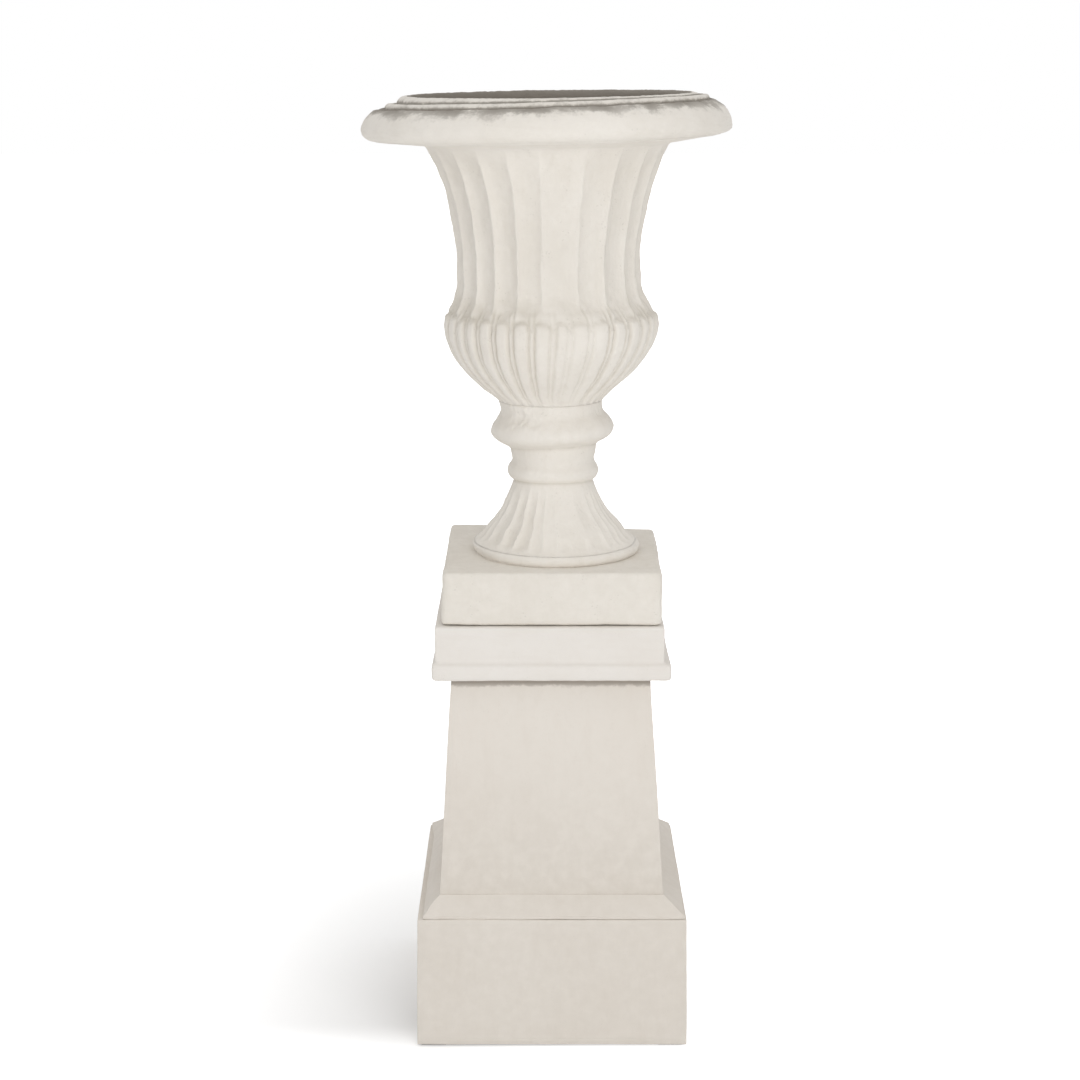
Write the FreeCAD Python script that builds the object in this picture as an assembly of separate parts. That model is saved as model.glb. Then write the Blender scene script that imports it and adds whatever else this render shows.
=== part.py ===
"""A cast-stone garden urn on a square pedestal, in millimetres.

The urn is a fluted campana bowl on a turned socle with a square plinth. A hollow threaded tube clamps the bowl to
the socle and drains it. The urn stands loose, on four pads, on a pedestal of four bonded castings: cap, tapered
shaft, chamfered moulding and base block. +Z is up, the front looks along -Y, and the origin is on the floor under
the middle of the pedestal.
"""
import FreeCAD, Part
import math
import os

from FreeCAD import Vector

# ---- driving dimensions ----------------------------------------------------------------------------------------

# pedestal, from the floor up
base_pad_height = 3.0
base_pad_side = 36.0
base_pad_inset = 6.0           # from the block's foot to the outer edge of each pad
block_bottom_half = 200.5      # half the width of the base block at its foot
block_top_half = 198.0
block_top_z = 200.0
block_edge_round = 2.0
corner_seat_height = 14.0      # solid corners inside the block's foot, which bear on the pads
moulding_half = 195.5          # half the width of the moulding's upright edge
moulding_edge = 4.5            # height of that edge
moulding_top_z = 227.0
moulding_ledge = 1.0           # how far its top shows round the shaft
shaft_bottom_half = 165.0
shaft_top_half = 143.0
shaft_top_z = 561.0
shaft_corner_round = 3.0
lip_half = 173.5               # the cap's projecting lip
lip_top_z = 581.0
lip_round = 6.0
cap_half = 164.0               # the cap's block, above the lip
cap_top_z = 636.5
cap_round = 3.0
cap_drain_radius = 28.0
pedestal_wall = 20.0           # thickness of the hollow castings
well_step = 3.0                # each well is this much wider than the one above it

# urn, from the pedestal up
setting_pad_height = 3.0
setting_pad_side = 34.0
setting_pad_offset = 130.0     # of each pad's centre from the two middle planes
plinth_half = 158.5
plinth_corner_round = 9.0
plinth_edge_round = 4.0
plinth_top_z = 715.0
plinth_cavity_radius = 130.0
plinth_deck_z = 690.0          # ceiling of the plinth's cavity
foot_ring_radius = 130.0
foot_ring_bulge_z = 724.0
foot_ring_top_z = 732.0
foot_core_radius = 100.0       # the hollow core of the foot, at the cavity's ceiling
small_ring_z = 821.0           # where the turned stem springs from the fluted foot
collar_top_z = 944.0           # the joint between the socle and the bowl
collar_radius = 76.0
throat_radius = 134.5          # the bell at its narrowest
throat_z = 1145.0
bell_flare_radius = 361.0      # radius of the arc that the bell flares on
bell_top_z = 1310.0
rim_radius = 266.0
rim_under_z = 1317.0           # the rim's underside where it leaves the bell
under_curve = 7.0              # hollow curve between the bell and that underside
nose_under_z = 1326.5          # the underside's outer end, where the rolled edge begins
nose_under_radius = 248.0
nose_z = 1341.0                # the widest height of the rolled edge
nose_curve = 31.0              # radius of the rolled edge above that height
step_radius = 231.0            # the low step on top of the rim
step_curve = 6.0
step_top_z = 1379.0            # where the inner lip springs
rim_top_z = 1386.0
rim_root_radius = 152.0        # the rim's ring starts here, inside the bell's wall
lip_inner_curve = 9.5
lip_flat = 2.5                 # the level strip along the top of the inner lip
mouth_radius = 197.0           # of the straight seat inside the mouth, which takes a liner
mouth_seat_z = 1348.0          # foot of that seat
floor_z = 972.0                # the bowl's inside floor
sump_z = 954.0                 # the round recess in that floor, for the drain fitting
sump_radius = 38.0

# the drain tube that clamps the bowl to the socle
tube_radius = 13.0
tube_bore_radius = 10.0
tube_bottom_z = 764.0
tube_top_z = 974.0
thread_gap = 0.1
tube_hole_gap = 0.5
stem_bore_radius = 15.0
stem_shoulder_z = 790.0        # the shoulder that the lower washer bears on
stem_shoulder_radius = 34.0
spigot_radius = 40.5
spigot_depth = 11.0
spigot_gap = 0.5
socket_floor_gap = 1.0
seal_radius = 31.0
seal_height = 4.0
washer_radius = 29.0
washer_height = 2.5
nut_height = 10.0
nut_across_flats = 41.0

# the dowels that key the castings: how far each set goes down and up from its joint
dowel_radius = 4.0
dowel_gap = 0.15
dowel_end_gap = 0.5
base_dowel_reach = (15.0, 17.0)
shaft_dowel_reach = (21.0, 24.0)
cap_dowel_reach = (28.0, 34.0)
base_dowel_inset = 22.0        # from the moulding's well to the middle of its wall
shaft_dowel_inset = 11.0       # from the shaft's foot to the middle of its wall

# hand-cut flutes and gadroons: the angle of each ridge or crease, in degrees from the front towards +X
flute_ridges = [-65.5, -50.0, -34.8, -19.2, -4.2, 17.9, 36.0, 53.5, 68.0]
flute_count = 20
gadroon_creases = [-73.0, -62.0, -53.0, -43.5, -32.4, -21.8, -10.3, 0.8, 9.8, 21.4, 33.6, 44.8, 55.4, 65.0, 75.0]
gadroon_count = 30
foot_ridges = [-74.0, -62.0, -50.5, -38.0, -25.0, -13.3, -3.2, 7.6, 17.0, 27.0, 37.5, 47.0, 57.0, 67.0, 77.0]
foot_flute_count = 30

# cross-sections of the carved stretches: height, radius over the ridges or crests, depth of the carving
foot_sections = [
    (foot_ring_top_z, 127.0, 0.0),
    (738.0, 123.0, 2.2),
    (746.0, 110.5, 3.4),
    (756.0, 99.0, 3.6),
    (770.0, 84.5, 3.2),
    (786.0, 73.0, 2.6),
    (804.0, 63.5, 2.0),
    (822.0, 59.0, 1.2),
]
gadroon_sections = [
    (collar_top_z, 79.0, 1.0),
    (952.0, 87.0, 2.2),
    (966.0, 102.5, 3.4),
    (983.0, 121.0, 4.4),
    (1001.0, 136.0, 5.2),
    (1019.0, 147.5, 5.6),
    (1037.0, 155.0, 5.6),
    (1053.0, 157.8, 4.8),
    (1064.0, 156.6, 2.4),
    (1072.0, 153.4, 0.0),
]
bell_section_heights = [1084.0, 1096.0, 1112.0, 1140.0, 1180.0, 1220.0, 1256.0, 1284.0, 1300.0]
flute_depth = 7.0
flute_fade = 26.0              # height over which the flutes deepen above the bulge
flute_end_share = 0.25         # what is left of their depth under the rim
shoulder_radius = 60.0         # the hollow curve between the bulge and the bell
shoulder_z = 1115.0
shoulder_rise = 0.7            # how far that curve's top stands outside the throat

past = 1.0                     # a cutter runs this far past what it cuts, and a joined solid into its neighbour


# ---- helpers ---------------------------------------------------------------------------------------------------

def square_wire(half, z):
    corners = [Vector(x * half, y * half, z) for x, y in ((-1, -1), (1, -1), (1, 1), (-1, 1))]
    return Part.makePolygon(corners + corners[:1])


def tapered_square(half_bottom, z_bottom, half_top, z_top):
    return Part.makeLoft([square_wire(half_bottom, z_bottom), square_wire(half_top, z_top)], True, True)


def square_block(half, z_bottom, z_top):
    return Part.makeBox(2 * half, 2 * half, z_top - z_bottom, Vector(-half, -half, z_bottom))


def cylinder(radius, z_bottom, z_top, x=0.0, y=0.0):
    return Part.makeCylinder(radius, z_top - z_bottom, Vector(x, y, z_bottom))


def vertical_edges(shape):
    return [e for e in shape.Edges if abs(e.tangentAt(e.FirstParameter).z) > 0.99]


def level_edges(shape, z):
    return [e for e in shape.Edges if all(abs(v.Z - z) < 1e-6 for v in e.Vertexes)]


def fuse(shapes):
    joined = shapes[0].fuse(shapes[1:])
    return joined.removeSplitter()


def four_corners(offset):
    return [(x * offset, y * offset) for x in (-1, 1) for y in (-1, 1)]


def four_sides(offset):
    return [(offset, 0), (-offset, 0), (0, offset), (0, -offset)]


def square_pads(side, height, offset, z):
    return Part.makeCompound([
        Part.makeBox(side, side, height, Vector(x - side / 2, y - side / 2, z)) for x, y in four_corners(offset)
    ])


def turned(outline):
    """A solid of revolution. Each step of the outline is a (radius, z) point, or a pair of points for an arc."""
    def point(radius, z):
        return Vector(radius, 0, z)
    edges = []
    here = point(*outline[0])
    for step in outline[1:] + outline[:1]:
        if isinstance(step[0], tuple):
            middle, end = (point(*p) for p in step)
            edges.append(Part.Arc(here, middle, end).toShape())
        else:
            end = point(*step)
            edges.append(Part.makeLine(here, end))
        here = end
    return Part.Face(Part.Wire(edges)).revolve(Vector(0, 0, 0), Vector(0, 0, 1), 360)


def quarter(start, centre, end):
    """An arc step for turned(), from start round centre to end."""
    out = Vector(start[0] + end[0] - 2 * centre[0], start[1] + end[1] - 2 * centre[1])
    radius = math.hypot(end[0] - centre[0], end[1] - centre[1])
    out = out.normalize() * radius
    return (centre[0] + out.x, centre[1] + out.y), end


def all_ridges(front_ridges, count):
    """The measured ridges of the front, and even ones round the back, which the photograph doesn't show."""
    hidden = count - len(front_ridges) + 1
    start, end = front_ridges[-1], front_ridges[0] + 360.0
    return front_ridges + [start + (end - start) * i / hidden for i in range(1, hidden)]


def carved_wire(z, ridges, radius_at_ridge, radius_between):
    """A closed ring of arcs, one from each ridge to the next."""
    def point(angle, radius):
        turn = math.radians(angle)
        return Vector(radius * math.sin(turn), -radius * math.cos(turn), z)
    ends = ridges + [ridges[0] + 360.0]
    arcs = [
        Part.Arc(point(a, radius_at_ridge), point((a + b) / 2, radius_between), point(b, radius_at_ridge)).toShape()
        for a, b in zip(ends, ends[1:])
    ]
    return Part.Wire(arcs)


def bell_radius(z):
    """The bell over its ridges: a hollow shoulder, a throat and a long flare."""
    if z < shoulder_z:
        drop = shoulder_z - z
        return throat_radius + shoulder_rise + shoulder_radius - math.sqrt(shoulder_radius**2 - drop**2)
    rise = z - throat_z
    return throat_radius + bell_flare_radius - math.sqrt(bell_flare_radius**2 - rise**2)


# ---- pedestal --------------------------------------------------------------------------------------------------

deck_bottom_z = block_top_z - pedestal_wall
shaft_well_half = shaft_top_half - pedestal_wall
base_well_half = shaft_well_half + well_step
cap_well_half = shaft_well_half - well_step
base_dowel_offset = base_well_half + base_dowel_inset
shaft_dowel_offset = shaft_bottom_half - shaft_dowel_inset
cap_dowel_offset = shaft_top_half - pedestal_wall / 2
base_dowel_span = (block_top_z - base_dowel_reach[0], block_top_z + base_dowel_reach[1])
shaft_dowel_span = (moulding_top_z - shaft_dowel_reach[0], moulding_top_z + shaft_dowel_reach[1])
cap_dowel_span = (shaft_top_z - cap_dowel_reach[0], shaft_top_z + cap_dowel_reach[1])


def dowels(span, places):
    return Part.makeCompound([cylinder(dowel_radius, span[0], span[1], x, y) for x, y in places])


def dowel_holes(span, places):
    low, high = span[0] - dowel_end_gap, span[1] + dowel_end_gap
    return [cylinder(dowel_radius + dowel_gap, low, high, x, y) for x, y in places]


def base_pads():
    offset = block_bottom_half - base_pad_inset - base_pad_side / 2
    return square_pads(base_pad_side, base_pad_height, offset, 0)


def base_block():
    outer = tapered_square(block_bottom_half, base_pad_height, block_top_half, block_top_z)
    outer = outer.makeFillet(block_edge_round, vertical_edges(outer) + level_edges(outer, block_top_z))
    inner_half = block_top_half - pedestal_wall
    hollow = square_block(inner_half, base_pad_height - past, deck_bottom_z)
    seats = square_pads(2 * base_pad_side, corner_seat_height, inner_half, base_pad_height)
    hollow = hollow.cut(seats)
    well = square_block(base_well_half, deck_bottom_z - past, block_top_z + past)
    return outer.cut([hollow, well] + dowel_holes(base_dowel_span, four_sides(base_dowel_offset)))


def base_moulding():
    edge_top_z = block_top_z + moulding_edge
    edge = square_block(moulding_half, block_top_z, edge_top_z)
    slope = tapered_square(moulding_half, edge_top_z, shaft_bottom_half + moulding_ledge, moulding_top_z)
    well = square_block(base_well_half, block_top_z - past, moulding_top_z + past)
    holes = dowel_holes(base_dowel_span, four_sides(base_dowel_offset))
    holes += dowel_holes(shaft_dowel_span, four_corners(shaft_dowel_offset))
    return fuse([edge, slope]).cut([well] + holes)


def shaft():
    outer = tapered_square(shaft_bottom_half, moulding_top_z, shaft_top_half, shaft_top_z)
    corner_edges = [e for e in outer.Edges if e.Length > shaft_top_z - moulding_top_z - past]
    outer = outer.makeFillet(shaft_corner_round, corner_edges)
    inner = tapered_square(shaft_bottom_half - pedestal_wall, moulding_top_z, shaft_well_half, shaft_top_z)
    holes = dowel_holes(shaft_dowel_span, four_corners(shaft_dowel_offset))
    holes += dowel_holes(cap_dowel_span, four_corners(cap_dowel_offset))
    return outer.cut([inner] + holes)


def cap():
    lip = square_block(lip_half, shaft_top_z, lip_top_z)
    lip = lip.makeFillet(lip_round, vertical_edges(lip) + level_edges(lip, lip_top_z))
    block = square_block(cap_half, lip_top_z - past, cap_top_z)
    block = block.makeFillet(cap_round, vertical_edges(block) + level_edges(block, cap_top_z))
    ceiling_z = cap_top_z - pedestal_wall
    hollow = square_block(cap_well_half, shaft_top_z - past, ceiling_z)
    drain = cylinder(cap_drain_radius, ceiling_z - past, cap_top_z + past)
    holes = dowel_holes(cap_dowel_span, four_corners(cap_dowel_offset))
    return fuse([lip, block]).cut([hollow, drain] + holes)


# ---- urn -------------------------------------------------------------------------------------------------------

plinth_bottom_z = cap_top_z + setting_pad_height
spigot_foot_z = collar_top_z - spigot_depth
foot_washer_z = stem_shoulder_z - washer_height


def setting_pads():
    return square_pads(setting_pad_side, setting_pad_height, setting_pad_offset, cap_top_z)


def socle_plinth():
    plinth = square_block(plinth_half, plinth_bottom_z, plinth_top_z)
    plinth = plinth.makeFillet(plinth_corner_round, vertical_edges(plinth))
    long_edges = level_edges(plinth, plinth_top_z) + level_edges(plinth, plinth_bottom_z)
    return plinth.makeFillet(plinth_edge_round, long_edges)


def fluted_foot():
    ridges = all_ridges(foot_ridges, foot_flute_count)
    chord_share = math.cos(math.pi / foot_flute_count)
    wires = [
        carved_wire(z, ridges, radius, radius * chord_share - depth if depth else radius)
        for z, radius, depth in foot_sections
    ]
    return Part.makeLoft(wires, True, False)


def foot_ring():
    inner = foot_ring_radius - 3.0
    return turned([
        (0, plinth_top_z - past),
        (inner, plinth_top_z - past),
        ((foot_ring_radius, foot_ring_bulge_z), (inner, foot_ring_top_z)),
        (0, foot_ring_top_z),
    ])


def turned_stem():
    """Small ring, neck, knop and collar."""
    return turned([
        (0, small_ring_z),
        (59.0, small_ring_z),
        (60.5, 823.5),
        ((67.5, 836.0), (61.0, 850.0)),
        ((60.0, 859.0), (62.5, 869.0)),
        (64.5, 873.0),
        ((90.5, 897.5), (77.5, 922.5)),
        ((74.5, 930.0), (collar_radius, 939.0)),
        (collar_radius, collar_top_z),
        (0, collar_top_z),
    ])


def urn_socle():
    body = fuse([socle_plinth(), fluted_foot(), foot_ring(), turned_stem()])
    cavity = cylinder(plinth_cavity_radius, plinth_bottom_z - past, plinth_deck_z)
    core_height = stem_shoulder_z - plinth_deck_z
    core = Part.makeCone(foot_core_radius, stem_shoulder_radius, core_height, Vector(0, 0, plinth_deck_z))
    bore = cylinder(stem_bore_radius, stem_shoulder_z - past, collar_top_z + past)
    socket = cylinder(spigot_radius + spigot_gap, spigot_foot_z - socket_floor_gap, collar_top_z + past)
    return body.cut([cavity, core, bore, socket])


def gadrooned_bulge():
    creases = all_ridges(gadroon_creases, gadroon_count)
    wires = [carved_wire(z, creases, radius - depth, radius) for z, radius, depth in gadroon_sections]
    return Part.makeLoft(wires, True, False)


def fluted_bell():
    ridges = all_ridges(flute_ridges, flute_count)
    spring_z, spring_radius = gadroon_sections[-1][:2]
    wires = [carved_wire(spring_z, ridges, spring_radius, spring_radius)]
    for z in bell_section_heights:
        depth = flute_depth * min(1.0, (z - spring_z) / flute_fade)
        radius = bell_radius(z)
        wires.append(carved_wire(z, ridges, radius, radius - depth))
    top = bell_radius(bell_top_z)
    wires.append(carved_wire(bell_top_z, ridges, top, top - flute_end_share * flute_depth))
    return Part.makeLoft(wires, True, False)


def rim():
    under_start = bell_radius(bell_top_z) + past
    under_end = under_start + under_curve
    nose_centre, step_z = rim_radius - nose_curve, nose_z + nose_curve
    step_inner, step_crest_z = step_radius - step_curve, step_z + step_curve
    lip_outer_curve, lip_inner_z = rim_top_z - step_top_z, rim_top_z - lip_inner_curve
    lip_inner = mouth_radius + lip_inner_curve
    lip_crest = lip_inner + lip_flat
    lip_outer = lip_crest + lip_outer_curve
    return turned([
        (rim_root_radius, bell_top_z),
        (under_start, bell_top_z),
        quarter((under_start, bell_top_z), (under_end, bell_top_z), (under_end, rim_under_z)),
        (nose_under_radius, nose_under_z),
        ((262.0, 1330.5), (rim_radius, nose_z)),
        quarter((rim_radius, nose_z), (nose_centre, nose_z), (nose_centre, step_z)),
        (step_radius, step_z),
        quarter((step_radius, step_z), (step_inner, step_z), (step_inner, step_crest_z)),
        (lip_outer, step_top_z),
        quarter((lip_outer, step_top_z), (lip_crest, step_top_z), (lip_crest, rim_top_z)),
        (lip_inner, rim_top_z),
        quarter((lip_inner, rim_top_z), (lip_inner, lip_inner_z), (mouth_radius, lip_inner_z)),
        (mouth_radius, mouth_seat_z),
        (rim_root_radius, mouth_seat_z),
    ])


def bowl_well():
    """The planting space inside the bowl, with the sump in its floor and the straight seat inside its mouth."""
    return turned([
        (0, sump_z),
        (sump_radius, sump_z),
        (sump_radius, floor_z),
        (52.0, floor_z),
        ((78.0, 979.0), (99.0, 995.0)),
        ((124.0, 1026.0), (131.0, 1058.0)),
        ((124.0, 1084.0), (114.5, 1110.0)),
        ((115.0, 1170.0), (124.0, 1230.0)),
        ((142.0, 1285.0), (170.0, 1330.0)),
        (mouth_radius, mouth_seat_z),
        (mouth_radius, rim_top_z + past),
        (0, rim_top_z + past),
    ])


def urn_bowl():
    neck = cylinder(bell_radius(bell_top_z) - 2.0, bell_section_heights[-1], rim_under_z + under_curve)
    spigot = cylinder(spigot_radius, spigot_foot_z, collar_top_z + past)
    body = fuse([gadrooned_bulge(), fluted_bell(), rim(), neck])
    hole = cylinder(tube_radius + tube_hole_gap, spigot_foot_z - past, sump_z + past)
    return body.fuse(spigot).cut([bowl_well(), hole])


# ---- drain tube and its fixings --------------------------------------------------------------------------------

def drain_tube():
    outer = cylinder(tube_radius, tube_bottom_z, tube_top_z)
    return outer.cut(cylinder(tube_bore_radius, tube_bottom_z - past, tube_top_z + past))


def washer(radius, height, z_bottom):
    disc = cylinder(radius, z_bottom, z_bottom + height)
    return disc.cut(cylinder(tube_radius + thread_gap, z_bottom - past, z_bottom + height + past))


def lock_nut(z_bottom):
    circumradius = nut_across_flats / 2 / math.cos(math.pi / 6)
    turns = [math.pi / 3 * i for i in range(7)]
    corners = [Vector(circumradius * math.cos(t), circumradius * math.sin(t), z_bottom) for t in turns]
    blank = Part.Face(Part.makePolygon(corners)).extrude(Vector(0, 0, nut_height))
    return blank.cut(cylinder(tube_radius + thread_gap, z_bottom - past, z_bottom + nut_height + past))


# ---- build -----------------------------------------------------------------------------------------------------

pieces = {
    "base_pads": base_pads,
    "base_block": base_block,
    "base_moulding": base_moulding,
    "base_dowels": lambda: dowels(base_dowel_span, four_sides(base_dowel_offset)),
    "pedestal_shaft": shaft,
    "shaft_dowels": lambda: dowels(shaft_dowel_span, four_corners(shaft_dowel_offset)),
    "pedestal_cap": cap,
    "cap_dowels": lambda: dowels(cap_dowel_span, four_corners(cap_dowel_offset)),
    "setting_pads": setting_pads,
    "urn_socle": urn_socle,
    "urn_bowl": urn_bowl,
    "drain_tube": drain_tube,
    "bowl_seal": lambda: washer(seal_radius, seal_height, sump_z),
    "bowl_washer": lambda: washer(washer_radius, washer_height, sump_z + seal_height),
    "bowl_lock_nut": lambda: lock_nut(sump_z + seal_height + washer_height),
    "foot_washer": lambda: washer(washer_radius, washer_height, foot_washer_z),
    "foot_lock_nut": lambda: lock_nut(foot_washer_z - nut_height),
}

os.makedirs("parts", exist_ok=True)
for name, make in pieces.items():
    shape = make()
    shape.exportStep(f"parts/{name}.step")
    print(f"{name}: {len(shape.Solids)} solid(s), {len(shape.Faces)} faces, "
          f"{shape.Volume / 1e6:.3f} litres, valid {shape.isValid()}")
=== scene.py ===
import bpy
import math
import numpy as np
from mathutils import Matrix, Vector, noise


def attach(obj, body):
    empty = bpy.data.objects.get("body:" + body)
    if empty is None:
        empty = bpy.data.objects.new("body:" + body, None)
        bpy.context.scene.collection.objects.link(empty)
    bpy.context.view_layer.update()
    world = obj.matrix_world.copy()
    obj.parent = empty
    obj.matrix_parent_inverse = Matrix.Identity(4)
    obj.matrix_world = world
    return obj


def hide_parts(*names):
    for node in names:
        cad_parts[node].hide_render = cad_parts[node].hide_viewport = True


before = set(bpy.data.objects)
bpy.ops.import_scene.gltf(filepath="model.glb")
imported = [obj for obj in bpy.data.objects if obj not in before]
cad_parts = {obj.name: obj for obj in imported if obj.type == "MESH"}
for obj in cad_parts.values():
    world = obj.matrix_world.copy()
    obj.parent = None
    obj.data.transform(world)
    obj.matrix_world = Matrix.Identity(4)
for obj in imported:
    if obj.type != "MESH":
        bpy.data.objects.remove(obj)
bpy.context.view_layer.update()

# all lengths in metres; the front looks along -Y, and angles run from the front towards +X


# small tools

def deselectAll():
    if bpy.context.object and bpy.context.object.mode != "OBJECT":
        bpy.ops.object.mode_set(mode="OBJECT")
    bpy.ops.object.select_all(action="DESELECT")


def makeActive(piece):
    deselectAll()
    piece.select_set(True)
    bpy.context.view_layer.objects.active = piece


def editMode(selectMode):
    bpy.ops.object.mode_set(mode="EDIT")
    bpy.ops.mesh.select_all(action="DESELECT")
    bpy.ops.mesh.select_mode(type=selectMode)


def objectMode():
    bpy.ops.object.mode_set(mode="OBJECT")


def applyModifier(piece, kind, **settings):
    makeActive(piece)
    modifier = piece.modifiers.new(kind.title(), kind)
    for key, value in settings.items():
        setattr(modifier, key, value)
    bpy.ops.object.modifier_apply(modifier=modifier.name)


def closeUp(piece):
    makeActive(piece)
    editMode("VERT")
    bpy.ops.mesh.select_all(action="SELECT")
    bpy.ops.mesh.remove_doubles(threshold=0.00001)
    bpy.ops.mesh.normals_make_consistent(inside=False)
    objectMode()


def smoothShade(piece, angle):
    makeActive(piece)
    bpy.ops.object.shade_smooth_by_angle(angle=math.radians(angle))


def ease(value):
    value = np.clip(value, 0.0, 1.0)
    return value * value * (3.0 - 2.0 * value)


def rise(value, start, run):
    # from 0 at the start to 1 a run further on
    return ease((value - start) / run)


def fall(value, end, run):
    # from 1 to 0, which it reaches at the end
    return ease((end - value) / run)


def hump(value, middle, width):
    return np.exp(-((value - middle) / width) ** 2)


def places(piece):
    count = len(piece.data.vertices)
    co = np.empty(count * 3)
    piece.data.vertices.foreach_get("co", co)
    return co.reshape(count, 3)


def putPlaces(piece, co):
    piece.data.vertices.foreach_set("co", co.ravel())
    piece.data.update()


def outward(piece):
    out = np.empty(len(piece.data.vertices) * 3)
    piece.data.vertex_normals.foreach_get("vector", out)
    return out.reshape(-1, 3)


def rough(co, size, seed=0.0):
    # smooth noise with features of about the given size, from -1 to 1
    return np.array([noise.noise(Vector(p)) for p in co / size + seed])


def grainy(co, size, octaves=3, seed=0.0):
    return np.array([noise.fractal(Vector(p), 0.9, 2.1, octaves) for p in co / size + seed])


def polar(co):
    radius = np.hypot(co[:, 0], co[:, 1])
    angle = np.degrees(np.arctan2(co[:, 0], -co[:, 1]))
    return radius, angle


def cutInward(co, radius, cut):
    factor = 1.0 - cut / np.maximum(radius, 0.01)
    co[:, 0] *= factor
    co[:, 1] *= factor


def radiusAt(z, line):
    return np.interp(z, [p[1] for p in line], [p[0] for p in line])


def fullCircle(visible, count):
    # the lines seen on the front, and even ones round the back
    hidden = count - len(visible) + 1
    start, end = visible[-1], visible[0] + 360.0
    return np.array(visible + [start + (end - start) * i / hidden for i in range(1, hidden)])


def between(angle, lines):
    # where an angle lies between its two lines: -1 to 1, the gap's number and its width in degrees
    turned = (angle - lines[0]) % 360.0 + lines[0]
    number = np.clip(np.searchsorted(lines, turned, side="right") - 1, 0, len(lines) - 1)
    ends = np.append(lines, lines[0] + 360.0)
    width = ends[number + 1] - ends[number]
    return 2.0 * (turned - ends[number]) / width - 1.0, number, width


def perLine(lines, special):
    values = np.ones(len(lines))
    for number, value in special.items():
        values[number] = value
    return values


def curveThrough(points, gap):
    # an even line through given points
    points = [Vector(p) for p in points]
    ends = [points[0] * 2 - points[1]] + points + [points[-1] * 2 - points[-2]]
    line = []
    for a, b, c, d in zip(ends, ends[1:], ends[2:], ends[3:]):
        steps = max(1, round((c - b).length / gap))
        for i in range(steps):
            t = i / steps
            line.append(0.5 * ((2 * b) + (c - a) * t + (2 * a - 5 * b + 4 * c - d) * t ** 2
                               + (3 * b - a - 3 * c + d) * t ** 3))
    return [tuple(p) for p in line + [points[-1]]]


def arc(centre, width, height, start, end, gap):
    # a stretch of an ellipse; start and end in degrees, 0 outwards and 90 up
    steps = max(2, round(abs(math.radians(end - start)) * (width + height) / 2 / gap))
    turns = [math.radians(start + (end - start) * i / steps) for i in range(steps + 1)]
    return [(centre[0] + width * math.cos(t), centre[1] + height * math.sin(t)) for t in turns]


def straight(start, end, gap):
    steps = max(1, round(math.dist(start, end) / gap))
    return [tuple(Vector(start).lerp(Vector(end), i / steps)) for i in range(steps + 1)]


def joined(*stretches):
    line = []
    for stretch in stretches:
        for point in stretch:
            if not line or math.dist(point, line[-1]) > 0.0002:
                line.append(point)
    if math.dist(line[0], line[-1]) < 0.0002:
        line.pop()
    return line


def turnedPiece(name, outline, steps):
    # a ring of points is set to the outline and swept round the axis
    deselectAll()
    bpy.ops.mesh.primitive_circle_add(vertices=len(outline), fill_type="NOTHING", location=(0, 0, 0))
    piece = bpy.context.object
    piece.name = name
    putPlaces(piece, np.array([(r, 0.0, z) for r, z in outline]))
    applyModifier(piece, "SCREW", steps=steps, render_steps=steps, use_merge_vertices=True,
                  merge_threshold=0.00001)
    closeUp(piece)
    return piece


def settle(piece, node, body):
    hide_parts(node)
    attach(piece, body)
    print(piece.name, len(piece.data.polygons), "faces")


def keepMask(piece, name, values):
    layer = piece.data.attributes.new(name, "FLOAT", "POINT")
    layer.data.foreach_set("value", np.clip(values, 0.0, 1.0).astype(np.float32))


camera = {"place": (-0.0176, -3.0775, 1.4332), "tilt": 77.102, "lens": 69.87}


def makeCamera():
    bpy.ops.object.camera_add(location=camera["place"], rotation=(math.radians(camera["tilt"]), 0, 0))
    eye = bpy.context.object
    eye.name = "camera"
    eye.data.sensor_width = 36
    eye.data.lens = camera["lens"]
    bpy.context.scene.camera = eye


makeCamera()
print("camera set")


# finishes

def addSocket(group, name, side, kind, value=None):
    socket = group.interface.new_socket(name, in_out=side, socket_type=kind)
    if value is not None:
        socket.default_value = value


def wire(tree, *pairs):
    for source, target in pairs:
        tree.links.new(source, target)


def mathNode(tree, operation, *values):
    node = tree.nodes.new("ShaderNodeMath")
    node.operation = operation
    for socket, value in zip(node.inputs, values):
        if isinstance(value, (int, float)):
            socket.default_value = value
        else:
            tree.links.new(value, socket)
    return node.outputs[0]


def noiseNode(tree, vector, scale, detail=3.0, roughness=0.55):
    node = tree.nodes.new("ShaderNodeTexNoise")
    node.inputs["Detail"].default_value = detail
    node.inputs["Roughness"].default_value = roughness
    if isinstance(scale, (int, float)):
        node.inputs["Scale"].default_value = scale
    else:
        tree.links.new(scale, node.inputs["Scale"])
    tree.links.new(vector, node.inputs["Vector"])
    return node.outputs["Fac"]


def rangeNode(tree, value, low, high, newLow=0.0, newHigh=1.0):
    node = tree.nodes.new("ShaderNodeMapRange")
    node.interpolation_type = "SMOOTHSTEP"
    for name, number in (("From Min", low), ("From Max", high), ("To Min", newLow), ("To Max", newHigh)):
        node.inputs[name].default_value = number
    tree.links.new(value, node.inputs["Value"])
    return node.outputs["Result"]


def mixColour(tree, factor, first, second):
    node = tree.nodes.new("ShaderNodeMix")
    node.data_type = "RGBA"
    ends = (("Factor", factor), ("A", first), ("B", second))
    for socket, value in ((node.inputs[name], value) for name, value in ends):
        if hasattr(value, "is_output"):
            tree.links.new(value, socket)
        elif isinstance(value, (int, float)):
            socket.default_value = value
        else:
            socket.default_value = (*value, 1.0)
    return node.outputs["Result"]


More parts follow.
